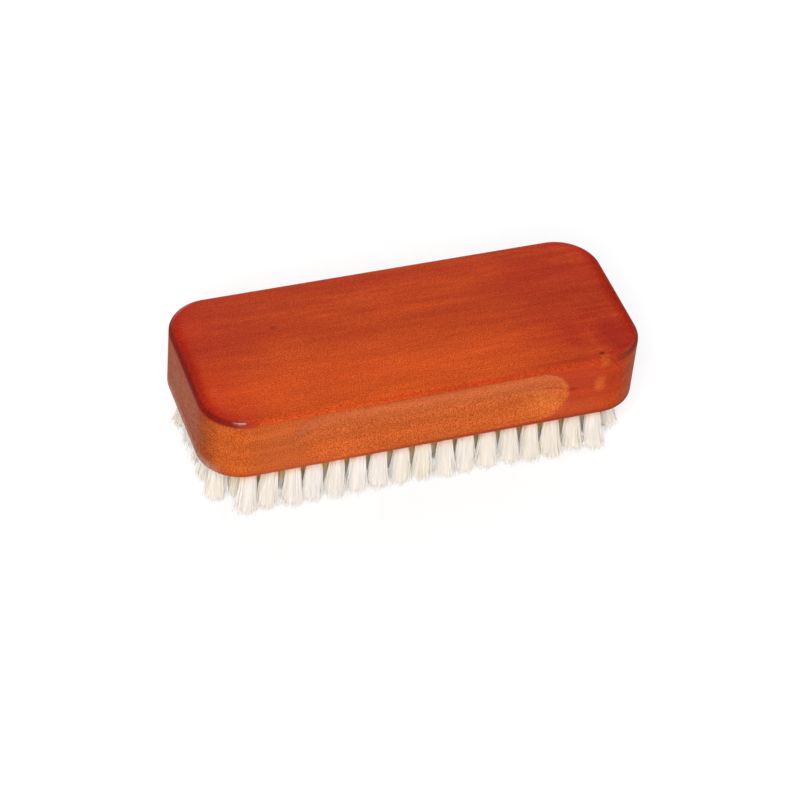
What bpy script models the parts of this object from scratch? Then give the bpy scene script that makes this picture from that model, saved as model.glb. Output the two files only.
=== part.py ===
# Hand brush: a one-piece wooden block with a finger groove along each long side,
# drilled underneath and set with tufts of light natural bristle.
# Metres, +Z up, +X along the block. The origin lies on the plane of the bristle tips,
# under the middle of the block, so the brush stands on its bristles.
import bpy
import bmesh
from math import acos, asin, cos, hypot, pi, radians, sin
from mathutils import Matrix, Vector

for old_object in list(bpy.data.objects):
    bpy.data.objects.remove(old_object, do_unlink=True)

# The wooden block
block_length = 0.110
block_width = 0.045
block_thickness = 0.0177
corner_radius = 0.0108
top_edge_radius = 0.0015
bottom_edge_radius = 0.0007
corner_steps = 8
top_edge_steps = 3
crease_angle = radians(35)

# The finger groove along each long side
groove_length = 0.0694
groove_nose = 0.009
groove_depth = 0.0018
groove_foot = 0.0012
groove_height = 0.0153
groove_profile_steps = 12
groove_nose_steps = 8

# The bristle field
bristle_length = 0.014
end_margin = 0.00595
side_margin = 0.0045
tuft_pitch = 0.00545
row_pitch = 0.006
corner_wall = 0.002
hole_radius = 0.00175
hole_depth = 0.008
hole_sides = 6

# The drilled face is sliced into strips, one for each cross column of tufts
face_margin = 0.002
strip_thickness = 0.0012
clearance = 0.0003

# The strands of one tuft, which stands a little wider at its tips
strands_per_tuft = 3
strand_sides = 3
root_ring_radius = 0.00108
tip_ring_radius = 0.0015
strand_root_radius = 0.00093
strand_tip_radius = 0.0009
edge_splay = 0.0007
fused_depth = 0.0004

# Depth by which a cutter runs past the wood, and how near two equal heights lie
overrun = 0.001
tolerance = 0.000001

# Heights, from the standing plane
face_height = bristle_length
top_height = face_height + block_thickness
pocket_depth = strip_thickness + clearance
pocket_height = face_height + pocket_depth


def make_material(name, colour, roughness):
    """A plain finish for one material of the brush."""
    material = bpy.data.materials.new(name)
    material.use_nodes = True
    shader = material.node_tree.nodes["Principled BSDF"]
    shader.inputs["Base Color"].default_value = (*colour, 1)
    shader.inputs["Roughness"].default_value = roughness
    shader.inputs["Metallic"].default_value = 0
    return material


def stained_wood():
    """Close-grained hardwood, stained red-orange and waxed to a satin."""
    return make_material("stained_wood", (0.54, 0.075, 0.016), 0.38)


def light_bristle():
    """Cream-white natural bristle."""
    return make_material("light_bristle", (0.82, 0.76, 0.66), 0.6)


def add_object(name, bm, material=None):
    """Turn a finished bmesh into a named object of the scene."""
    mesh = bpy.data.meshes.new(name)
    bm.normal_update()
    bm.to_mesh(mesh)
    bm.free()
    mesh.shade_smooth()
    mesh.set_sharp_from_angle(angle=crease_angle)
    made = bpy.data.objects.new(name, mesh)
    bpy.context.scene.collection.objects.link(made)
    if material:
        mesh.materials.append(material)
    return made


def add_guide(name, bm):
    """An object that only cuts or adds to another, and isn't a piece itself."""
    guide = add_object(name, bm)
    guide.hide_render = True
    guide.display_type = "WIRE"
    return guide


def join(target, tool, operation):
    """Cut the tool out of the target, or fuse it to the target."""
    modifier = target.modifiers.new(tool.name, "BOOLEAN")
    modifier.operation = operation
    modifier.solver = "EXACT"
    modifier.object = tool


def rounded_plate(bm, length, width, radius, low, high):
    """A flat plate with four round corners, between two heights."""
    half = Vector((length / 2, width / 2, 0))
    signs = ((-1, -1), (-1, 1), (1, 1), (1, -1))
    corners = [bm.verts.new((sx * half.x, sy * half.y, low)) for sx, sy in signs]
    bm.faces.new(corners)
    bmesh.ops.bevel(bm, geom=corners, offset=radius, offset_type="OFFSET", segments=corner_steps,
                    profile=0.5, affect="VERTICES", material=-1)
    raised = bmesh.ops.extrude_face_region(bm, geom=bm.faces[:], use_keep_orig=True)
    top_verts = [item for item in raised["geom"] if isinstance(item, bmesh.types.BMVert)]
    bmesh.ops.translate(bm, verts=top_verts, vec=(0, 0, high - low))
    bmesh.ops.recalc_face_normals(bm, faces=bm.faces[:])


def rim_edges(bm, height):
    """The edges of a plate's outline at one height."""
    return [edge for edge in bm.edges
            if all(abs(vert.co.z - height) < tolerance for vert in edge.verts)]


def groove_cutter(name, turn):
    """The path of a shaped cutter along one long side: an arc profile run straight
    between its two ends, and swung out of the wood at each end along its own circle."""
    half_height = groove_height / 2
    profile_radius = (half_height ** 2 + groove_depth ** 2) / (2 * groove_depth)
    plan_radius = (groove_nose ** 2 + groove_depth ** 2) / (2 * groove_depth)
    straight_half = groove_length / 2 - groove_nose
    middle = face_height + groove_foot + half_height
    wood_side = -block_width / 2
    deepest = wood_side + groove_depth
    reach = acos((profile_radius - groove_depth - overrun) / profile_radius)
    bm = bmesh.new()
    outline = []
    for step in range(groove_profile_steps + 1):
        angle = reach * (2 * step / groove_profile_steps - 1)
        inward = deepest - profile_radius * (1 - cos(angle))
        outline.append(bm.verts.new((straight_half, inward, middle + profile_radius * sin(angle))))
    first = bm.faces.new(outline)
    run = bmesh.ops.extrude_face_region(bm, geom=[first], use_keep_orig=True)
    far = [item for item in run["geom"] if isinstance(item, bmesh.types.BMVert)]
    bmesh.ops.translate(bm, verts=far, vec=(-2 * straight_half, 0, 0))
    swing = asin(groove_nose / plan_radius) + overrun / plan_radius
    for side in (1, -1):
        end_x = side * straight_half
        ends = [face for face in bm.faces
                if all(abs(vert.co.x - end_x) < tolerance for vert in face.verts)]
        bmesh.ops.spin(bm, geom=ends, cent=(end_x, deepest - plan_radius, 0), axis=(0, 0, 1),
                       angle=-side * swing, steps=groove_nose_steps, use_duplicate=False)
        bmesh.ops.delete(bm, geom=ends, context="FACES_ONLY")
    bmesh.ops.recalc_face_normals(bm, faces=bm.faces[:])
    bmesh.ops.rotate(bm, verts=bm.verts[:], cent=(0, 0, 0), matrix=Matrix.Rotation(turn, 3, "Z"))
    return add_guide(name, bm)


def even_spread(span, pitch):
    """Places spread evenly over a span, as near to the pitch as whole gaps allow."""
    gaps = max(1, round(span / pitch))
    return [span * (step / gaps - 0.5) for step in range(gaps + 1)]


def wood_beside(x, y):
    """The wood between a hole at this place and the block's rounded outline."""
    past_x = abs(x) - (block_length / 2 - corner_radius)
    past_y = abs(y) - (block_width / 2 - corner_radius)
    if past_x > 0 and past_y > 0:
        to_outline = corner_radius - hypot(past_x, past_y)
    else:
        to_outline = corner_radius - max(past_x, past_y)
    return to_outline - hole_radius


column_places = even_spread(block_length - 2 * end_margin, tuft_pitch)
row_places = even_spread(block_width - 2 * side_margin, row_pitch)
columns = [(x, [y for y in row_places if wood_beside(x, y) > corner_wall]) for x in column_places]


def handle_block(wood):
    """The block: grooved sides, a shallow recess for the strips and a blind hole a tuft."""
    bm = bmesh.new()
    rounded_plate(bm, block_length, block_width, corner_radius, face_height, top_height)
    bmesh.ops.bevel(bm, geom=rim_edges(bm, top_height), offset=top_edge_radius, offset_type="OFFSET",
                    segments=top_edge_steps, profile=0.5, affect="EDGES", material=-1)
    bmesh.ops.bevel(bm, geom=rim_edges(bm, face_height), offset=bottom_edge_radius,
                    offset_type="OFFSET", segments=1, profile=0.5, affect="EDGES", material=-1)
    block = add_object("handle_block", bm, wood)
    for name, turn in (("front_groove_cutter", 0), ("back_groove_cutter", pi)):
        join(block, groove_cutter(name, turn), "DIFFERENCE")

    recess = bmesh.new()
    rounded_plate(recess, block_length - 2 * face_margin, block_width - 2 * face_margin,
                  corner_radius - face_margin, face_height - overrun, pocket_height)
    join(block, add_guide("recess_cutter", recess), "DIFFERENCE")

    drill = bmesh.new()
    low = pocket_height - overrun
    high = face_height + hole_depth
    for x, ys in columns:
        for y in ys:
            place = Matrix.Translation((x, y, (low + high) / 2))
            bmesh.ops.create_cone(drill, cap_ends=True, segments=hole_sides, radius1=hole_radius,
                                  radius2=hole_radius, depth=high - low, matrix=place)
    join(block, add_guide("hole_drill", drill), "DIFFERENCE")
    return block


def add_strand(bm, root, tip, turn):
    """A straight tapered strand from inside the drilled face down to the standing plane,
    cut flat there, with one edge turned to the middle of its tuft."""
    depth = root.z - tip.z
    middle = root.z - depth / 2
    place = Matrix.Translation((root.x, root.y, middle)) @ Matrix.Rotation(turn + pi / 2, 4, "Z")
    made = bmesh.ops.create_cone(bm, cap_ends=True, segments=strand_sides,
                                 radius1=strand_tip_radius, radius2=strand_root_radius,
                                 depth=depth, matrix=place)
    low = [vert for vert in made["verts"] if vert.co.z < middle]
    bmesh.ops.translate(bm, verts=low, vec=(tip.x - root.x, tip.y - root.y, 0))


def add_tuft(bm, x, y):
    """One tuft: its strands below the face, and its folded root standing in the hole."""
    splay_x = edge_splay * x / (block_length / 2)
    splay_y = edge_splay * y / (block_width / 2)
    for strand in range(strands_per_tuft):
        turn = 2 * pi * strand / strands_per_tuft + pi / 2
        out = Vector((cos(turn), sin(turn), 0))
        root = Vector((x, y, face_height + fused_depth)) + out * root_ring_radius
        tip = Vector((x + splay_x, y + splay_y, 0)) + out * tip_ring_radius
        add_strand(bm, root, tip, turn)
    plug_radius = hole_radius - clearance / cos(pi / hole_sides)
    low = face_height + strip_thickness - fused_depth
    high = face_height + hole_depth - clearance
    bmesh.ops.create_cone(bm, cap_ends=True, segments=hole_sides, radius1=plug_radius,
                          radius2=plug_radius, depth=high - low,
                          matrix=Matrix.Translation((x, y, (low + high) / 2)))


def keep_between(bm, low_x, high_x):
    """Cut a plate down to the strip between two planes across it."""
    for plane_x, outward in ((low_x, -1), (high_x, 1)):
        if plane_x is None:
            continue
        everything = bm.verts[:] + bm.edges[:] + bm.faces[:]
        cut = bmesh.ops.bisect_plane(bm, geom=everything, plane_co=(plane_x, 0, 0),
                                     plane_no=(outward, 0, 0), clear_outer=True)
        edges = [item for item in cut["geom_cut"] if isinstance(item, bmesh.types.BMEdge)]
        bmesh.ops.holes_fill(bm, edges=edges, sides=0)


def tuft_column(index, bristle):
    """One cross column of tufts, fused to its strip of the drilled face."""
    x, ys = columns[index]
    name = f"tuft_column_{index + 1:02d}"
    inset = face_margin + clearance
    strip = bmesh.new()
    rounded_plate(strip, block_length - 2 * inset, block_width - 2 * inset, corner_radius - inset,
                  face_height, face_height + strip_thickness)
    half_gap = clearance / 2
    low_x = (columns[index - 1][0] + x) / 2 + half_gap if index > 0 else None
    high_x = (x + columns[index + 1][0]) / 2 - half_gap if index < len(columns) - 1 else None
    keep_between(strip, low_x, high_x)
    column = add_object(name, strip, bristle)
    strands = bmesh.new()
    for y in ys:
        add_tuft(strands, x, y)
    join(column, add_guide(name + "_strands", strands), "UNION")
    return column


def build():
    """The whole brush, all pieces held by one empty at the origin."""
    brush = bpy.data.objects.new("hand_brush", None)
    bpy.context.scene.collection.objects.link(brush)
    wood = stained_wood()
    bristle = light_bristle()
    pieces = [handle_block(wood)]
    for index in range(len(columns)):
        pieces.append(tuft_column(index, bristle))
    for piece in pieces:
        piece.parent = brush
    tufts = sum(len(ys) for x, ys in columns)
    print("tufts", tufts, "strands", tufts * strands_per_tuft)


build()
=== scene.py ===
import random
from collections import namedtuple
from math import cos, hypot, pi, radians, sin, sqrt

import bmesh
import bpy
from mathutils import Matrix, Vector


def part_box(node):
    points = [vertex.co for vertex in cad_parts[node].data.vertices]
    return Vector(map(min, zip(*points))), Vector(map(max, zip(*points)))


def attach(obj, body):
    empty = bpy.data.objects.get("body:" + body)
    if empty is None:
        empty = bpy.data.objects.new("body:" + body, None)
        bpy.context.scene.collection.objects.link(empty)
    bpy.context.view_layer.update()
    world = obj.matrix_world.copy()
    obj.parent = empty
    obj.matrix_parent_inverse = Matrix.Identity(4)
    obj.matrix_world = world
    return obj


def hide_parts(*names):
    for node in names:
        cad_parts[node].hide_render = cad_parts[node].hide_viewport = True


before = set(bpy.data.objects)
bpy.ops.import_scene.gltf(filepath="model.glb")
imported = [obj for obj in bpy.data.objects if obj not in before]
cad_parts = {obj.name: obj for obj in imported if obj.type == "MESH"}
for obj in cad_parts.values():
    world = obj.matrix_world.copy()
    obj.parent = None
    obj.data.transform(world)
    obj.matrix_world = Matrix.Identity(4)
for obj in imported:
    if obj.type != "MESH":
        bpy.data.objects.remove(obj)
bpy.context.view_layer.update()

# Wooden block: one piece of pear wood, its corners and upper edge rounded on a spindle.
# Blind holes are drilled square into its underside, one a tuft, and a shaped cutter has
# run a finger groove along each long side.
block_low, block_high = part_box("handle_block")
length, width, thickness = block_high - block_low
face_height = block_low.z
back_height = block_high.z
corner_radius = 0.0108
corner_steps = 20
upper_edge_radius = 0.0015
upper_edge_steps = 8
lower_edge_radius = 0.0007
lower_edge_steps = 4
end_margin = 0.00595
side_margin = 0.0045
tuft_pitch = 0.00545
row_pitch = 0.006
corner_wall = 0.002
hole_radius = 0.00175
hole_depth = 0.008
hole_sides = 20
groove_length = 0.0694
groove_nose = 0.009
groove_depth = 0.0018
groove_foot = 0.0012
groove_height = 0.0153
groove_edge_softness = 0.0002
net_step = 0.00036
whole_edge_share = 0.75
same_height = 0.00001
crease_angle = radians(35)


def new_object(name, bm):
    """A bmesh made an object, smooth where it is round."""
    mesh = bpy.data.meshes.new(name)
    bm.to_mesh(mesh)
    bm.free()
    mesh.shade_smooth()
    mesh.set_sharp_from_angle(angle=crease_angle)
    made = bpy.data.objects.new(name, mesh)
    bpy.context.scene.collection.objects.link(made)
    return made


def rim(bm, height):
    """The edges of the blank's outline at one height."""
    return [edge for edge in bm.edges
            if all(abs(vert.co.z - height) < same_height for vert in edge.verts)]


def rounded_blank():
    """The blank: sawn to size, with four round corners and both rims rounded over."""
    bm = bmesh.new()
    signs = ((-1, -1), (-1, 1), (1, 1), (1, -1))
    corners = [bm.verts.new((sx * length / 2, sy * width / 2, face_height)) for sx, sy in signs]
    bm.faces.new(corners)
    bmesh.ops.bevel(bm, geom=corners, offset=corner_radius, offset_type="OFFSET",
                    segments=corner_steps, profile=0.5, affect="VERTICES", material=-1)
    raised = bmesh.ops.extrude_face_region(bm, geom=bm.faces[:], use_keep_orig=True)
    top = [item for item in raised["geom"] if isinstance(item, bmesh.types.BMVert)]
    bmesh.ops.translate(bm, verts=top, vec=(0, 0, thickness))
    bmesh.ops.recalc_face_normals(bm, faces=bm.faces[:])
    for height, radius, steps in ((back_height, upper_edge_radius, upper_edge_steps),
                                  (face_height, lower_edge_radius, lower_edge_steps)):
        bmesh.ops.bevel(bm, geom=rim(bm, height), offset=radius, offset_type="OFFSET",
                        segments=steps, profile=0.5, affect="EDGES", material=-1)
    return bm


def even_spread(span, pitch):
    """Places spread evenly over a span."""
    gaps = round(span / pitch)
    return [span * (step / gaps - 0.5) for step in range(gaps + 1)]


def wood_beside(x, y):
    """The wood left between a hole at this place and the rounded outline."""
    past_x = abs(x) - (length / 2 - corner_radius)
    past_y = abs(y) - (width / 2 - corner_radius)
    if past_x > 0 and past_y > 0:
        return corner_radius - hypot(past_x, past_y) - hole_radius
    return corner_radius - max(past_x, past_y) - hole_radius


across_block = even_spread(width - 2 * side_margin, row_pitch)
along_block = even_spread(length - 2 * end_margin, tuft_pitch)
columns = [[(x, y) for y in across_block if wood_beside(x, y) > corner_wall] for x in along_block]
tuft_places = [place for column in columns for place in column]


def drill_holes(blank):
    """Takes the holes out of the underside and gives the drilled blank back as a bmesh."""
    drill = bmesh.new()
    for x, y in tuft_places:
        bmesh.ops.create_cone(drill, cap_ends=True, segments=hole_sides, radius1=hole_radius,
                              radius2=hole_radius, depth=2 * hole_depth,
                              matrix=Matrix.Translation((x, y, face_height)))
    block = new_object("blank", blank)
    path = new_object("drill_path", drill)
    cut = block.modifiers.new("drilled holes", "BOOLEAN")
    cut.operation = "DIFFERENCE"
    cut.solver = "EXACT"
    cut.object = path
    drilled = bmesh.new()
    drilled.from_object(block, bpy.context.evaluated_depsgraph_get())
    for used in (block, path):
        bpy.data.objects.remove(used)
    return drilled


def groove_depth_at(x, height):
    """How deep the cutter went at a place on the long side. Its arc profile ran straight
    between the two ends and swung out of the wood there along its own circle."""
    half_height = groove_height / 2
    profile_radius = (half_height ** 2 + groove_depth ** 2) / (2 * groove_depth)
    plan_radius = (groove_nose ** 2 + groove_depth ** 2) / (2 * groove_depth)
    off_middle = height - (face_height + groove_foot + half_height)
    past_end = max(0, abs(x) - (groove_length / 2 - groove_nose))
    profile = sqrt(profile_radius ** 2 - off_middle ** 2) - (profile_radius - groove_depth)
    reach = plan_radius - groove_depth + profile
    depth = sqrt(max(0, reach ** 2 - past_end ** 2)) - (plan_radius - groove_depth)
    if depth > groove_edge_softness:
        return depth
    return max(0, depth + groove_edge_softness) ** 2 / (4 * groove_edge_softness)


def cut_grooves(bm):
    """Lays a fine net over the walls and sinks it along the cutter's path."""
    upright = [edge for edge in bm.edges
               if abs(edge.verts[0].co.z - edge.verts[1].co.z) > thickness * whole_edge_share]
    bmesh.ops.subdivide_edges(bm, edges=upright, cuts=round(thickness / net_step),
                              use_grid_fill=True)
    lengthwise = [edge for edge in bm.edges if edge.calc_length() > length * whole_edge_share]
    bmesh.ops.subdivide_edges(bm, edges=lengthwise, cuts=round(length / net_step),
                              use_grid_fill=True)
    cut = bm.verts.layers.float.new("groove_cut")
    for vert in bm.verts:
        if abs(vert.co.y) > width / 2 - same_height:
            depth = groove_depth_at(vert.co.x, vert.co.z)
            vert.co.y -= depth if vert.co.y > 0 else -depth
            vert[cut] = depth / groove_depth
    return bm


def finish_piece(piece, material):
    """Gives a piece its finish and lets it ride on the brush."""
    piece.data.materials.clear()
    piece.data.materials.append(material)
    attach(piece, "root")


def node(tree, kind, name, **settings):
    """A named node with its settings."""
    made = tree.nodes.new(kind)
    made.name = made.label = name
    for key, value in settings.items():
        setattr(made, key, value)
    return made


def streaks_group():
    """Fine lines that run one way, as grain in wood or light on a bundle of hair: the
    pattern is drawn out along the direction whose scale is small."""
    group = bpy.data.node_groups.new("drawn_out_streaks", "ShaderNodeTree")
    face = group.interface
    face.new_socket("Scale", in_out="INPUT", socket_type="NodeSocketVector")
    face.new_socket("Detail", in_out="INPUT", socket_type="NodeSocketFloat")
    face.new_socket("Low", in_out="INPUT", socket_type="NodeSocketFloat")
    face.new_socket("High", in_out="INPUT", socket_type="NodeSocketFloat")
    face.new_socket("Streak", in_out="OUTPUT", socket_type="NodeSocketFloat")
    start = node(group, "NodeGroupInput", "start")
    finish = node(group, "NodeGroupOutput", "finish")
    place = node(group, "ShaderNodeTexCoord", "place")
    drawn = node(group, "ShaderNodeVectorMath", "drawn out", operation="MULTIPLY")
    noise = node(group, "ShaderNodeTexNoise", "lines")
    spread = node(group, "ShaderNodeMapRange", "spread")
    noise.inputs["Scale"].default_value = 1
    group.links.new(place.outputs["Object"], drawn.inputs[0])
    group.links.new(start.outputs["Scale"], drawn.inputs[1])
    group.links.new(drawn.outputs[0], noise.inputs["Vector"])
    group.links.new(start.outputs["Detail"], noise.inputs["Detail"])
    group.links.new(noise.outputs["Fac"], spread.inputs["Value"])
    group.links.new(start.outputs["Low"], spread.inputs["From Min"])
    group.links.new(start.outputs["High"], spread.inputs["From Max"])
    group.links.new(spread.outputs["Result"], finish.inputs["Streak"])
    return group


streaks = streaks_group()


def streak(tree, name, scale, detail, low, high):
    """One use of the streaks, with its own scale in lines per metre along X, Y and Z."""
    use = node(tree, "ShaderNodeGroup", name, node_tree=streaks)
    use.inputs["Scale"].default_value = scale
    use.inputs["Detail"].default_value = detail
    use.inputs["Low"].default_value = low
    use.inputs["High"].default_value = high
    return use.outputs["Streak"]


def sums(tree, name, operation, *values):
    """A math node on sockets and numbers."""
    made = node(tree, "ShaderNodeMath", name, operation=operation)
    for socket, value in zip(made.inputs, values):
        if isinstance(value, bpy.types.NodeSocket):
            tree.links.new(value, socket)
        else:
            socket.default_value = value
    return made.outputs[0]


def product(tree, name, first, second):
    """Two masks or shares multiplied together."""
    return sums(tree, name, "MULTIPLY", first, second)


def blend_colour(tree, name, factor, under, over, mode="MIX"):
    """Lays one colour over another, as much as the factor says."""
    mix = node(tree, "ShaderNodeMix", name, data_type="RGBA", blend_type=mode)
    for socket, value in ((mix.inputs[0], factor), (mix.inputs[6], under), (mix.inputs[7], over)):
        if isinstance(value, bpy.types.NodeSocket):
            tree.links.new(value, socket)
        elif isinstance(value, tuple):
            socket.default_value = (*value, 1)
        else:
            socket.default_value = value
    return mix.outputs[2]


def lay(tree, name, mask, share, under, over):
    """Lays a colour over another where the mask is, thinned to a share."""
    return blend_colour(tree, name, product(tree, name + " share", mask, share), under, over)


def ramp(tree, name, value, low, high):
    """0 up to low, 1 from high, with a soft rise between."""
    made = node(tree, "ShaderNodeMapRange", name, interpolation_type="SMOOTHSTEP")
    tree.links.new(value, made.inputs["Value"])
    made.inputs["From Min"].default_value = low
    made.inputs["From Max"].default_value = high
    return made.outputs["Result"]


waver_scale = 500
spot_core = 0.2


def spot(tree, name, place, middle, reach, waver=0.0):
    """A soft spot: 1 in its core, 0 from its reach on. A waver makes its outline uneven."""
    moved = node(tree, "ShaderNodeVectorMath", name + " from its middle", operation="SUBTRACT")
    moved.inputs[1].default_value = middle
    if waver:
        noise = node(tree, "ShaderNodeTexNoise", name + " waver")
        noise.inputs["Scale"].default_value = waver_scale
        shift = node(tree, "ShaderNodeVectorMath", name + " wavered", operation="MULTIPLY_ADD")
        shift.inputs[1].default_value = (waver,) * 3
        tree.links.new(place, noise.inputs["Vector"])
        tree.links.new(noise.outputs["Color"], shift.inputs[0])
        tree.links.new(place, shift.inputs[2])
        place = shift.outputs[0]
        moved.inputs[1].default_value = [value + waver / 2 for value in middle]
    tree.links.new(place, moved.inputs[0])
    scaled = node(tree, "ShaderNodeVectorMath", name + " to its reach", operation="DIVIDE")
    scaled.inputs[1].default_value = reach
    tree.links.new(moved.outputs[0], scaled.inputs[0])
    far = node(tree, "ShaderNodeVectorMath", name + " distance", operation="LENGTH")
    tree.links.new(scaled.outputs[0], far.inputs[0])
    return ramp(tree, name, far.outputs["Value"], 1, spot_core)


Place = namedtuple("Place", "point along across up from_middle")


def place_on_block(tree):
    """Where a point of the block lies, and how far from its middle along it."""
    coordinates = node(tree, "ShaderNodeTexCoord", "place")
    split = node(tree, "ShaderNodeSeparateXYZ", "along, across, up")
    tree.links.new(coordinates.outputs["Object"], split.inputs[0])
    along, across, up = split.outputs
    from_middle = sums(tree, "distance from the middle", "ABSOLUTE", along)
    return Place(coordinates.outputs["Object"], along, across, up, from_middle)


def past_corner(tree, name, value, straight):
    """How far a place lies past the straight part of the outline, on either side."""
    either_side = sums(tree, name + " on either side", "ABSOLUTE", value)
    beside = sums(tree, name + " beside the corner", "SUBTRACT", either_side, straight)
    return sums(tree, name + " past the corner", "MAXIMUM", 0, beside)


def from_outline(tree, at):
    """How far inside the block's rounded outline a place lies, up to the corner radius."""
    past_x = past_corner(tree, "along", at.along, length / 2 - corner_radius)
    past_y = past_corner(tree, "across", at.across, width / 2 - corner_radius)
    square = product(tree, "square", past_y, past_y)
    squares = sums(tree, "squares", "MULTIPLY_ADD", past_x, past_x, square)
    reach = sums(tree, "reach", "SQRT", squares)
    return sums(tree, "from the outline", "SUBTRACT", corner_radius, reach)


pith_across = 0.014
pith_up = -0.045
rings_per_metre = 330
ring_sway = 0.004
sway_scale = (26, 70, 70)


def growth_rings(tree, at):
    """Growth rings about a line along the block: long bands on its back and sides, arcs on
    its ends, unevenly wide and swaying a little on their way."""
    drawn = node(tree, "ShaderNodeVectorMath", "sway drawn out", operation="MULTIPLY")
    drawn.inputs[1].default_value = sway_scale
    sway = node(tree, "ShaderNodeTexNoise", "sway")
    sway.inputs["Scale"].default_value = 1
    sway.inputs["Detail"].default_value = 2
    tree.links.new(at.point, drawn.inputs[0])
    tree.links.new(drawn.outputs[0], sway.inputs["Vector"])
    off_across = sums(tree, "across from the pith", "SUBTRACT", at.across, pith_across)
    off_up = sums(tree, "up from the pith", "SUBTRACT", at.up, pith_up)
    square = product(tree, "squared up", off_up, off_up)
    squares = sums(tree, "both squared", "MULTIPLY_ADD", off_across, off_across, square)
    radius = sums(tree, "radius", "SQRT", squares)
    swayed = sums(tree, "swayed radius", "MULTIPLY_ADD", sway.outputs["Fac"], ring_sway, radius)
    rings = node(tree, "ShaderNodeTexNoise", "rings", noise_dimensions="1D")
    rings.inputs["Scale"].default_value = rings_per_metre
    rings.inputs["Detail"].default_value = 3
    tree.links.new(swayed, rings.inputs["W"])
    return ramp(tree, "ring tone", rings.outputs["Fac"], 0.3, 0.7)


back_stain = (0.48, 0.040, 0.006)
front_stain = (0.61, 0.074, 0.008)
left_stain = (0.53, 0.036, 0.006)
back_left_stain = (0.42, 0.028, 0.006)
right_stain = (0.43, 0.026, 0.005)
streak_stain = (0.66, 0.105, 0.010)
edging_stain = (0.46, 0.018, 0.006)


def stain_on_back(tree, at, clouds, figure):
    """The stain on the flat back, more orange towards the front and redder towards both
    ends. Gives its light streaks too, which run on over the sides."""
    front = ramp(tree, "orange towards the front", at.across, 0.017, -0.020)
    stain = blend_colour(tree, "stain from back to front", front, back_stain, front_stain)
    left = ramp(tree, "redder towards the left", at.along, -0.030, -0.052)
    stain = lay(tree, "stain at the left", left, 0.7, stain, left_stain)
    back_left = product(tree, "back left", left, ramp(tree, "back half", at.across, -0.004, 0.008))
    stain = lay(tree, "darker back left", back_left, 0.85, stain, back_left_stain)
    right = ramp(tree, "redder towards the right", at.along, 0.012, 0.046)
    stain = blend_colour(tree, "stain at the right", right, stain, right_stain)
    light = product(tree, "light streaks", figure, product(tree, "light share", clouds, 0.45))
    not_left = sums(tree, "not at the back left", "MULTIPLY_ADD", back_left, -0.8, 1)
    light = product(tree, "light streaks elsewhere", light, not_left)
    return blend_colour(tree, "streaks", light, stain, streak_stain), light


side_stain = (0.500, 0.091, 0.015)
side_right_stain = (0.46, 0.041, 0.007)
side_low_stain = (0.48, 0.058, 0.009)
side_end_shade_stain = (0.37, 0.056, 0.009)
side_streak_stain = (0.59, 0.132, 0.021)


def stain_on_sides(tree, at, light):
    """The stain on the sides, redder on the right part of the front one. About the right end
    they are browner and darker with painted shade, where the corners turn away from the key
    light."""
    right_part = product(tree, "right end of the front side",
                         ramp(tree, "right end", at.along, 0.020, 0.030),
                         ramp(tree, "front half", at.across, -0.002, -0.011))
    stain = blend_colour(tree, "side stain", right_part, side_stain, side_right_stain)
    low = ramp(tree, "low on the side", at.up, face_height + 0.009, face_height + 0.003)
    low_right = product(tree, "low right end", low, right_part)
    stain = blend_colour(tree, "less red low down", low_right, stain, side_low_stain)
    # Painted shade: darker where the corners at the right end turn away from the key light.
    end = ramp(tree, "brown towards the right end", at.along, 0.0460, 0.0530)
    stain = blend_colour(tree, "browner side end", end, stain, side_end_shade_stain)
    not_right = sums(tree, "not right", "SUBTRACT", 1, right_part)
    side_light = product(tree, "side streak share", light, not_right)
    return blend_colour(tree, "side streaks", side_light, stain, side_streak_stain)


dark_end_grain = (0.60, 0.48, 0.34)
light_end_grain = (0.84, 0.86, 0.84)
low_groove_stain = (0.520, 0.096, 0.015)
high_groove_reflection_stain = (0.580, 0.118, 0.023)


def ends_and_grooves(tree, at, end_face, stain):
    """Darkens the open end grain, and thins the stain where the grooves are cut. Higher in a
    groove it is painted paler and tanner, a painted reflection of the floor in its down-facing
    part.
    """
    pricked = streak(tree, "open end grain", (2500, 1300, 2600), 1, 0.36, 0.64)
    end_tone = blend_colour(tree, "end tone", pricked, dark_end_grain, light_end_grain)
    stain = blend_colour(tree, "end stain", end_face, stain, end_tone, "MULTIPLY")
    groove = node(tree, "ShaderNodeAttribute", "groove cut", attribute_name="groove_cut")
    in_groove = ramp(tree, "inside a groove", groove.outputs["Fac"], 0.01, 0.10)
    # Painted reflection: the upper part of the groove faces down and is painted paler and tanner,
    # for the floor seen in it.
    high = ramp(tree, "high in the groove", at.up, face_height + 0.006, face_height + 0.013)
    bare = blend_colour(tree, "groove stain", high, low_groove_stain, high_groove_reflection_stain)
    return blend_colour(tree, "thin stain in the groove", in_groove, stain, bare)


rim_shade_stain = (0.50, 0.046, 0.006)
shaded_left_rim = (0.20, 0.010, 0.004)
shaded_rim_tone = (0.18, 0.024, 0.005)
foot_shade_stain = (0.30, 0.030, 0.006)
foot_light_colour = (0.50, 0.33, 0.27)


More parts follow.
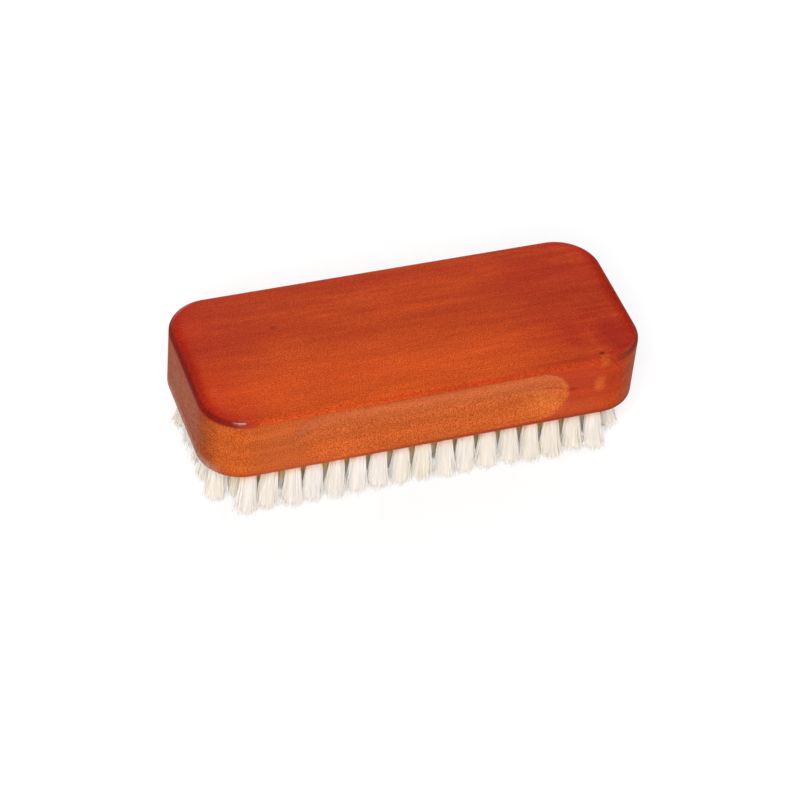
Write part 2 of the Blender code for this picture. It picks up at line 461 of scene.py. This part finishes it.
def rims(tree, at, near_end, stain):
    """Darkens the rounded rims with painted shade: the upper one a little all round against
    the light it catches, and most at the ends and the back; the lower one, which faces down,
    more to the right. The foot of the left end is painted paler, a painted highlight on its
    rounded edge."""
    upper = product(tree, "upper rim",
                    ramp(tree, "rim foot", at.up, back_height - 0.0018, back_height - 0.0012),
                    ramp(tree, "rim top", at.up, back_height, back_height - 0.0004))
    to_right = ramp(tree, "rim towards the right", at.along, -0.050, 0.016)
    # Painted shade: the upper rim is darkened against the light it catches, more to the right.
    stain = lay(tree, "rim painted darker", upper, to_right, stain, rim_shade_stain)
    # Painted shade: a dark band on the upper rim at the ends and along the back, where the
    # rounding turns away from the light.
    rim_back = ramp(tree, "rim at the back", at.across, 0.0204, 0.0218)
    rim_end = sums(tree, "rim at the ends and back", "MAXIMUM", near_end, rim_back)
    browner = ramp(tree, "browner rim", at.along, -0.045, -0.020)
    dark = blend_colour(tree, "painted rim shade tones", browner, shaded_left_rim, shaded_rim_tone)
    stain = lay(tree, "painted rim shade", upper, rim_end, stain, dark)
    # Painted shade: the lower rim faces down and is darkened, more towards the right.
    foot = ramp(tree, "lower rim", at.up, face_height + 0.0017, face_height + 0.0008)
    foot_right = ramp(tree, "foot right", at.along, -0.040, 0.010)
    foot_share = sums(tree, "foot towards the right", "MULTIPLY_ADD", foot_right, 0.5, 0.3)
    stain = lay(tree, "foot painted darker", foot, foot_share, stain, foot_shade_stain)
    # Painted highlight: the foot of the left end is painted paler, for light caught on its rounded
    # lower edge.
    left_end = ramp(tree, "left end", at.along, -0.0500, -0.0540)
    end_foot = ramp(tree, "foot of the end", at.up, face_height + 0.0036, face_height + 0.0006)
    lit_foot = product(tree, "foot painted paler", left_end, end_foot)
    return lay(tree, "paler foot", lit_foot, 0.55, stain, foot_light_colour)


Mark = namedtuple("Mark", "name middle reach waver share colour")
marks = (
    Mark("pin knot", (-0.0308, 0.0077, back_height), (0.0015, 0.0010, 0.0008),
         0.0008, 0.65, (0.22, 0.022, 0.010)),
    Mark("dark band", (0.0380, -0.0120, back_height), (0.0034, 0.0075, 0.0020),
         0.0024, 0.5, (0.40, 0.024, 0.006)),
    Mark("light strip", (0.0424, -0.0140, back_height), (0.0016, 0.0050, 0.0020),
         0.0016, 0.4, (0.54, 0.062, 0.010)),
    Mark("edge knot flame", (0.0484, -0.0138, back_height), (0.0060, 0.0080, 0.0026),
         0.0030, 0.85, (0.36, 0.015, 0.005)),
    Mark("knot shade", (0.0490, -0.0188, back_height), (0.0050, 0.0016, 0.0020),
         0.0016, 0.6, (0.27, 0.008, 0.005)),
    # Painted highlight: two bright streaks where the right front corner begins stand in for a
    # highlight there.
    Mark("painted highlight streak", (0.0424, -0.0225, 0.0243), (0.0021, 0.0040, 0.0034),
         0.0020, 0.6, (0.64, 0.140, 0.020)),
    Mark("painted highlight streak above", (0.0430, -0.0212, 0.0303), (0.0022, 0.0026, 0.0024),
         0.0016, 0.55, (0.64, 0.135, 0.018)),
    # Painted light: the right nose of the groove faces the key light and is painted lighter.
    Mark("painted light on the groove nose", (0.0282, -0.0225, 0.0205), (0.0080, 0.0040, 0.0058),
         0.0020, 0.6, (0.68, 0.170, 0.030)),
    Mark("nose line", (0.0308, -0.0215, 0.0242), (0.0044, 0.0030, 0.0005),
         0.0005, 0.5, (0.40, 0.045, 0.010)),
    Mark("lower nose line", (0.0320, -0.0215, 0.0227), (0.0030, 0.0030, 0.0004),
         0.0005, 0.4, (0.40, 0.045, 0.010)),
    Mark("edge knot", (0.0430, -0.0200, back_height), (0.0010, 0.0008, 0.0012),
         0.0006, 0.9, (0.20, 0.008, 0.004)),
    Mark("nose stain", (0.0354, -0.0225, 0.0239), (0.0020, 0.0030, 0.0010),
         0.0010, 0.7, (0.33, 0.014, 0.006)))

dark_speckle = (0.80, 0.64, 0.50)
light_speckle = (1.20, 1.36, 1.50)
pore_colour = (0.14, 0.012, 0.005)


def grain_over_stain(tree, rings, tones, pores, stain):
    """The wood's own light and dark over its stain. Each tone is a name, a pattern and the
    share of the light that it takes."""
    tone = sums(tree, "ring tone share", "MULTIPLY_ADD", rings, 0.12, 0.94)
    for name, pattern, share in tones:
        part = sums(tree, name + " tone", "MULTIPLY_ADD", pattern, share, 1 - share / 2)
        tone = product(tree, "with " + name, tone, part)
    grey = node(tree, "ShaderNodeCombineColor", "tone as a colour")
    for socket in grey.inputs[:3]:
        tree.links.new(tone, socket)
    toned = blend_colour(tree, "grain", 1.0, stain, grey.outputs[0], "MULTIPLY")
    speckle = streak(tree, "speckle", (4300, 3600, 3600), 0, 0.38, 0.62)
    specks = blend_colour(tree, "speckle tones", speckle, dark_speckle, light_speckle)
    toned = blend_colour(tree, "speckled", 1.0, toned, specks, "MULTIPLY")
    return lay(tree, "pores in the stain", pores, 0.45, toned, pore_colour)


wax_weight = 0.15
soaked_wax_weight = 0.02
bead_weight = 0.6
bead_middle = (-0.0468, -0.0214, back_height - 0.0006)
bead_reach = (0.0026, 0.0024, 0.0011)


def wax(tree, at, side):
    """How thick the wax lies. It has soaked into the ends and is worn off the sides of the
    corners, and a bead of it is left under the rim at the left front corner."""
    end_grain = ramp(tree, "end grain", at.from_middle, 0.0500, 0.0535)
    corner = ramp(tree, "corner", at.from_middle, 0.038, 0.047)
    soaked = sums(tree, "wax soaked in", "MAXIMUM", end_grain,
                  product(tree, "worn corners", side, corner))
    even = sums(tree, "wax", "MULTIPLY_ADD", soaked, soaked_wax_weight - wax_weight, wax_weight)
    bead = spot(tree, "bead of wax", at.point, bead_middle, bead_reach)
    return sums(tree, "wax and bead", "MAXIMUM", even,
                product(tree, "bead share", bead, bead_weight))


def stained_pear_wood():
    """Pear wood stained red-orange and waxed: growth rings, fine lengthwise fibres and
    short pores. The stain is redder on the back than on the sides, and thinnest in the cut
    grooves. The rims and the corners at the right end carry painted shade, and the right nose
    of a groove, the right front corner and the upper part of the grooves painted light.
    Wax gleams on it, but soaks into the end grain."""
    material = bpy.data.materials.new("stained_pear_wood")
    material.use_nodes = True
    tree = material.node_tree
    shader = tree.nodes["Principled BSDF"]
    at = place_on_block(tree)
    clouds = streak(tree, "cloudy stain", (45, 130, 130), 4, 0.3, 0.7)
    figure = streak(tree, "streaked stain", (60, 560, 560), 3, 0.3, 0.7)
    flecks = streak(tree, "flecks", (900, 2600, 2600), 2, 0.3, 0.7)
    fibres = streak(tree, "fibres", (70, 3000, 3000), 2, 0.25, 0.75)
    pores = streak(tree, "pores", (420, 5200, 5200), 1, 0.66, 0.76)

    stain, light = stain_on_back(tree, at, clouds, figure)
    near_end = ramp(tree, "near an end", at.from_middle, 0.041, 0.051)
    near_outline = ramp(tree, "near the outline", from_outline(tree, at), 0.0044, 0.0012)
    edging = product(tree, "edging", near_end, near_outline)
    stain = lay(tree, "redder edging", edging, 0.85, stain, edging_stain)
    end_face = ramp(tree, "end face", at.from_middle, length / 2 - 0.0040, length / 2 - 0.0004)
    lowered = sums(tree, "lower on the ends", "MULTIPLY_ADD", end_face, 0.0006, at.up)
    side = ramp(tree, "on the sides", lowered, back_height - 0.0006, back_height - 0.0022)
    stain = blend_colour(tree, "back and sides", side, stain, stain_on_sides(tree, at, light))
    stain = ends_and_grooves(tree, at, end_face, stain)
    stain = rims(tree, at, near_end, stain)
    for mark in marks:
        mask = spot(tree, mark.name, at.point, mark.middle, mark.reach, mark.waver)
        stain = lay(tree, mark.name + " colour", mask, mark.share, stain, mark.colour)
    tones = (("cloud", clouds, 0.10), ("figure", figure, 0.12), ("fleck", flecks, 0.14),
             ("fibre", fibres, 0.10))
    wood = grain_over_stain(tree, growth_rings(tree, at), tones, pores, stain)
    tree.links.new(wood, shader.inputs["Base Color"])

    satin = sums(tree, "satin", "MULTIPLY_ADD", clouds, 0.10, 0.42)
    tree.links.new(satin, shader.inputs["Roughness"])
    tree.links.new(wax(tree, at, side), shader.inputs["Coat Weight"])
    bump = node(tree, "ShaderNodeBump", "grain relief")
    bump.inputs["Strength"].default_value = 0.12
    bump.inputs["Distance"].default_value = 0.0001
    relief = sums(tree, "relief", "MULTIPLY_ADD", pores, -1.2, fibres)
    tree.links.new(relief, bump.inputs["Height"])
    tree.links.new(bump.outputs["Normal"], shader.inputs["Normal"])
    shader.inputs["Specular IOR Level"].default_value = 0.03
    shader.inputs["Coat Roughness"].default_value = 0.10
    return material


brush_block = new_object("brush_block", cut_grooves(drill_holes(rounded_blank())))
finish_piece(brush_block, stained_pear_wood())
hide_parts("handle_block")

# Tuft anchors: a short flat brass wire pressed across the fold of each tuft, wedged in
# the wood at the bottom of its hole. They are hidden once the tuft is in.
anchor_length = 0.0034
anchor_height = 0.0016
anchor_thickness = 0.0003
dull_brass = (0.52, 0.36, 0.13)
bright_brass = (0.72, 0.53, 0.23)


def brass_wire():
    """Drawn brass, dulled, with lines along the wire."""
    material = bpy.data.materials.new("brass_wire")
    material.use_nodes = True
    tree = material.node_tree
    shader = tree.nodes["Principled BSDF"]
    shader.inputs["Metallic"].default_value = 1
    drawn = streak(tree, "drawing lines", (300, 9000, 9000), 2, 0.3, 0.7)
    colour = blend_colour(tree, "dulled brass", drawn, dull_brass, bright_brass)
    tree.links.new(colour, shader.inputs["Base Color"])
    dull = sums(tree, "dull", "MULTIPLY_ADD", drawn, 0.15, 0.35)
    tree.links.new(dull, shader.inputs["Roughness"])
    return material


wires = bmesh.new()
for x, y in tuft_places:
    middle = face_height + hole_depth - anchor_height
    size = Matrix.Diagonal((anchor_length, anchor_thickness, anchor_height, 1))
    bmesh.ops.create_cube(wires, size=1, matrix=Matrix.Translation((x, y, middle)) @ size)
bmesh.ops.bevel(wires, geom=wires.edges[:], offset=anchor_thickness / 4, segments=1, profile=0.5,
                affect="EDGES", material=-1)
finish_piece(new_object("tuft_anchors", wires), brass_wire())

# Bristle tufts: bunches of light natural bristle, folded double in their holes and
# trimmed level. Each stands wider at its tips, and the outer ones lean outwards.
hairs_in_a_tuft = 190
hair_sides = 3
hair_bends = 2
hair_head = face_height + 0.001
hair_root_radius = 0.000115
hair_tip_radius = 0.000100
root_bundle_radius = 0.00152
tip_bundle_radius = 0.00280
flare = 1.1
widest_and_narrowest = (0.82, 1.14)
core_share = 0.76
core_sides = 16
core_recess = 0.0012
stray = 0.00065
wilder_stray = 2.1
hairs_to_a_wilder_one = 6
stray_flare = 3
turn_scatter = 0.1
edge_lean = 0.0013
lean_scatter_along = 0.00024
lean_scatter_across = 0.00020
uneven_trim = 0.0009
hair_trim_scatter = 0.4
trim_share = 0.8
corner_trim_share = 0.2
corner_tufts_along = 0.043
corner_tufts_across = 0.017
fold_radius = 0.00170
fold_taper = 0.8
fold_sides = 12
fold_foot = face_height + 0.0006
fold_head = face_height + hole_depth - anchor_height
outer_row_wood = 0.005
end_tufts_along = 0.042
end_gold = 0.25
flank_gold = 0.95
flank_from = 0.45
flank_rise = 0.35
fold_tint = 0.4
core_tint = 0.2
tint_scatter = 0.5
golden_turn = pi * (3 - sqrt(5))
chance = random.Random(19)

cream_hair = (0.84, 0.76, 0.62)
white_hair = (0.86, 0.83, 0.84)
hair_streak = (0.85, 0.80, 0.72)
# Painted shade and painted reflection: golden for the warm shade deep between the tufts, orange
# for the stained wood reflected just below it.
root_shade_gold = (0.92, 0.56, 0.15)
flank_shade_gold = (0.88, 0.50, 0.14)
wood_reflection_tinge = (0.84, 0.42, 0.28)


def light_bristle():
    """Cream-white bristle, each hair with its own tint. Between the tufts the roots and the
    flanks are painted golden, painted shade for the warm light deep among them. Next to the
    wood an orange tinge is a painted reflection of the stained wood."""
    material = bpy.data.materials.new("light_bristle")
    material.use_nodes = True
    tree = material.node_tree
    shader = tree.nodes["Principled BSDF"]
    place = node(tree, "ShaderNodeTexCoord", "place")
    split = node(tree, "ShaderNodeSeparateXYZ", "height")
    tree.links.new(place.outputs["Object"], split.inputs[0])
    up = split.outputs["Z"]
    tint = node(tree, "ShaderNodeAttribute", "tint of the hair", attribute_name="hair_tint")
    inner = node(tree, "ShaderNodeAttribute", "inner tuft", attribute_name="inner_tuft")
    flank = node(tree, "ShaderNodeAttribute", "flank of the tuft", attribute_name="tuft_flank")
    light = streak(tree, "light on the bundle", (2600, 2600, 90), 2, 0.3, 0.7)
    colour = blend_colour(tree, "tints", tint.outputs["Fac"], cream_hair, white_hair)
    colour = lay(tree, "streaked", light, 0.3, colour, hair_streak)
    # Painted shade: the inner tufts golden towards the wood.
    root = ramp(tree, "towards the wood", up, 0.0022, 0.0060)
    colour = lay(tree, "painted shade at the roots", root, inner.outputs["Fac"], colour, root_shade_gold)
    # Painted shade: the flanks of the tufts golden next to the wood, where they face their
    # neighbours.
    near_wood = ramp(tree, "next to the wood", up, 0.0080, 0.0128)
    colour = lay(tree, "painted shade on the flanks", near_wood, flank.outputs["Fac"], colour, flank_shade_gold)
    # Painted reflection: an orange tinge of the stained wood on the hairs just below it.
    below_wood = ramp(tree, "just below the wood", up, 0.0088, 0.0126)
    colour = lay(tree, "painted reflection of the wood", below_wood, 0.42, colour, wood_reflection_tinge)
    tree.links.new(colour, shader.inputs["Base Color"])
    gloss = sums(tree, "hair gloss", "MULTIPLY_ADD", light, 0.15, 0.40)
    tree.links.new(gloss, shader.inputs["Roughness"])
    shader.inputs["Diffuse Roughness"].default_value = 1
    shader.inputs["Specular IOR Level"].default_value = 0.3
    return material


def strand(bm, middle, sides, radii, foot, head):
    """A round strand between two heights, turned at random. Gives its corners."""
    where = Matrix.Translation((middle.x, middle.y, (head + foot) / 2))
    where = where @ Matrix.Rotation(chance.uniform(0, pi), 4, "Z")
    made = bmesh.ops.create_cone(bm, cap_ends=True, segments=sides, radius1=radii[0],
                                 radius2=radii[1], depth=head - foot, matrix=where)
    return made["verts"]


def golden_share(x, y):
    """How much painted golden shade a tuft's roots take: not in the outer rows, and less near the
    ends.
    """
    if wood_beside(x, y) < outer_row_wood:
        return 0
    return end_gold if abs(x) > end_tufts_along else 1


def flank_share(out, y):
    """How far out on its tuft's flank a hair stands: along the block in the two outer rows,
    across it in the others."""
    in_outer_row = abs(y) > width / 2 - row_pitch
    aside = abs(out.x) if in_outer_row else abs(out.y)
    return min(1, max(0, aside - flank_from) / flank_rise)


def tuft(x, y):
    """One tuft in its hole, as a mesh: its folded root, its inner hairs as one core, and
    single hairs on a sunflower pattern. All are set straight first and bent after."""
    bm = bmesh.new()
    bend = bm.verts.layers.float_vector.new("bend")
    wild = bm.verts.layers.float_vector.new("wild")
    tint = bm.verts.layers.float.new("hair_tint")
    inner = bm.verts.layers.float.new("inner_tuft")
    flank = bm.verts.layers.float.new("tuft_flank")
    hole = Vector((x, y, 0))
    widening = (tip_bundle_radius - root_bundle_radius) * chance.uniform(*widest_and_narrowest)
    lean = Vector((2 * x / length, 2 * y / width, 0)) * edge_lean
    lean += Vector((chance.gauss(0, lean_scatter_along), chance.gauss(0, lean_scatter_across), 0))
    at_corner = abs(x) > corner_tufts_along and abs(y) > corner_tufts_across
    trim = chance.uniform(0, uneven_trim) * (corner_trim_share if at_corner else trim_share)
    tone = chance.uniform(0, tint_scatter)

    for vert in strand(bm, hole, fold_sides, (fold_radius, fold_radius * fold_taper), fold_foot,
                       fold_head):
        vert[tint] = fold_tint
    core_radius = root_bundle_radius * core_share
    for vert in strand(bm, hole, core_sides, (core_radius, core_radius), trim + core_recess,
                       hair_head):
        out = Vector((vert.co.x - hole.x, vert.co.y - hole.y, 0))
        vert[bend] = lean + out * (widening / root_bundle_radius)
        vert[tint] = core_tint + tone

    turn = chance.uniform(0, 2 * pi)
    for hair in range(hairs_in_a_tuft):
        share = sqrt((hair + 0.5) / hairs_in_a_tuft)
        angle = hair * golden_turn + turn + chance.gauss(0, turn_scatter)
        out = Vector((cos(angle), sin(angle), 0)) * share
        wildness = wilder_stray if hair % hairs_to_a_wilder_one == 0 else 1
        off = Vector((chance.uniform(-1, 1), chance.uniform(-1, 1), 0)) * stray * wildness
        foot = trim + abs(chance.gauss(0, hair_trim_scatter)) * uneven_trim
        shade = tone + chance.uniform(0, tint_scatter)
        for vert in strand(bm, hole + out * root_bundle_radius, hair_sides,
                           (hair_tip_radius, hair_root_radius), foot, hair_head):
            vert[bend] = lean + out * widening
            vert[wild] = off
            vert[tint] = shade
            vert[flank] = flank_gold * flank_share(out, y)

    long_edges = [edge for edge in bm.edges if edge.calc_length() > face_height / 2]
    bmesh.ops.subdivide_edges(bm, edges=long_edges, cuts=hair_bends)
    for vert in bm.verts:
        down = min(1, max(0, 1 - vert.co.z / face_height))
        vert.co += vert[bend] * down ** flare + vert[wild] * down ** stray_flare
        vert[inner] = golden_share(x, y)
    for done in (bend, wild):
        bm.verts.layers.float_vector.remove(done)
    mesh = bpy.data.meshes.new("tuft")
    bm.to_mesh(mesh)
    bm.free()
    return mesh


def bristle_column(places):
    """One cross column of tufts."""
    bm = bmesh.new()
    for x, y in places:
        one = tuft(x, y)
        bm.from_mesh(one)
        bpy.data.meshes.remove(one)
    return bm


bristle = light_bristle()
for number, places in enumerate(columns, 1):
    tufts = new_object(f"bristle_column_{number:02d}", bristle_column(places))
    finish_piece(tufts, bristle)
    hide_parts(f"tuft_column_{number:02d}")

# Floor: a wide sheet of pale card that keeps the brush's soft shadow. Looked at, it is
# lifted to the white of the sky behind it.
floor_reach = 3
card_in_light = (0.85, 0.85, 0.85)
card_looked_at = (0.58, 0.58, 0.58)
lift_near = 0.53
lift_far = 1.0
near_reach = 0.16
far_reach = 0.50


def looked_at(tree):
    """1 on what the camera sees, straight or in a gloss or a glass."""
    path = node(tree, "ShaderNodeLightPath", "path of the light")
    seen = sums(tree, "seen or glossy", "MAXIMUM", path.outputs["Is Camera Ray"],
                path.outputs["Is Glossy Ray"])
    return sums(tree, "seen, glossy or through", "MAXIMUM", seen,
                path.outputs["Is Transmission Ray"])


def pale_card():
    """Matt card, lifted where it is looked at, and to white further off."""
    material = bpy.data.materials.new("pale_card")
    material.use_nodes = True
    tree = material.node_tree
    shader = tree.nodes["Principled BSDF"]
    seen = looked_at(tree)
    colour = blend_colour(tree, "card", seen, card_in_light, card_looked_at)
    tree.links.new(colour, shader.inputs["Base Color"])
    place = node(tree, "ShaderNodeTexCoord", "place")
    far = node(tree, "ShaderNodeVectorMath", "distance from the brush", operation="LENGTH")
    tree.links.new(place.outputs["Object"], far.inputs[0])
    far_out = ramp(tree, "far out", far.outputs["Value"], near_reach, far_reach)
    lift = sums(tree, "lift where it is", "MULTIPLY_ADD", far_out, lift_far - lift_near, lift_near)
    tree.links.new(product(tree, "lift", seen, lift), shader.inputs["Emission Strength"])
    shader.inputs["Emission Color"].default_value = (1, 1, 1, 1)
    shader.inputs["Roughness"].default_value = 0.9
    shader.inputs["Specular IOR Level"].default_value = 0
    return material


floor_bm = bmesh.new()
bmesh.ops.create_grid(floor_bm, x_segments=1, y_segments=1, size=floor_reach)
floor = new_object("floor", floor_bm)
floor.data.materials.append(pale_card())

# Light: a soft key from the front left with a low one under it, weaker ones from the right
# and from behind, and an even sky, which is white where it is looked at.
sky_strength = 0.22
world = bpy.data.worlds.new("studio")
bpy.context.scene.world = world
world.use_nodes = True
sky_tree = world.node_tree
sky = sky_tree.nodes["Background"]
sky.inputs["Color"].default_value = (1, 1, 1, 1)
strength = sums(sky_tree, "sky strength", "MULTIPLY_ADD", looked_at(sky_tree), 1 - sky_strength,
                sky_strength)
sky_tree.links.new(strength, sky.inputs["Strength"])


def soft_box(name, azimuth, elevation, distance, size, power):
    """A square lamp that looks at the brush."""
    lamp = bpy.data.lights.new(name, "AREA")
    lamp.size = size
    lamp.energy = power
    holder = bpy.data.objects.new(name, lamp)
    turn, rise = radians(azimuth), radians(elevation)
    out = Vector((sin(turn) * cos(rise), -cos(turn) * cos(rise), sin(rise)))
    holder.location = out * distance
    holder.rotation_mode = "QUATERNION"
    holder.rotation_quaternion = out.to_track_quat("Z", "Y")
    bpy.context.scene.collection.objects.link(holder)
    return holder


soft_box("key", azimuth=-25, elevation=44, distance=1.2, size=0.5, power=10.5)
soft_box("low light", azimuth=-22, elevation=12, distance=1.4, size=0.5, power=2.8)
soft_box("side light", azimuth=108, elevation=36, distance=1.4, size=0.8, power=3.8)
soft_box("back light", azimuth=190, elevation=14, distance=1.4, size=0.8, power=8.0)

# Camera: at the photograph's place, a long lens held slightly tilted.
view_azimuth = radians(-22.556)
view_elevation = radians(42.267)
view_roll = radians(5.619)
view_distance = 0.72824
focal_pixels = 3016.0
image_pixels = 800
aim = Vector((0, 0, face_height + 0.008))
aim_pixel = (402.43, 357.80)

camera_data = bpy.data.cameras.new("camera")
camera = bpy.data.objects.new("camera", camera_data)
bpy.context.scene.collection.objects.link(camera)
bpy.context.scene.camera = camera
back = Vector((sin(view_azimuth) * cos(view_elevation), -cos(view_azimuth) * cos(view_elevation),
               sin(view_elevation)))
level = Vector((cos(view_azimuth), sin(view_azimuth), 0))
upright = level.cross(-back)
right = level * cos(view_roll) + upright * sin(view_roll)
top = upright * cos(view_roll) - level * sin(view_roll)
turned = Matrix((right, top, back)).transposed().to_4x4()
camera.matrix_world = Matrix.Translation(aim + back * view_distance) @ turned
camera_data.lens = focal_pixels * camera_data.sensor_width / image_pixels
camera_data.shift_x = (image_pixels / 2 - aim_pixel[0]) / image_pixels
camera_data.shift_y = (aim_pixel[1] - image_pixels / 2) / image_pixels
bpy.context.scene.view_settings.view_transform = "Standard"
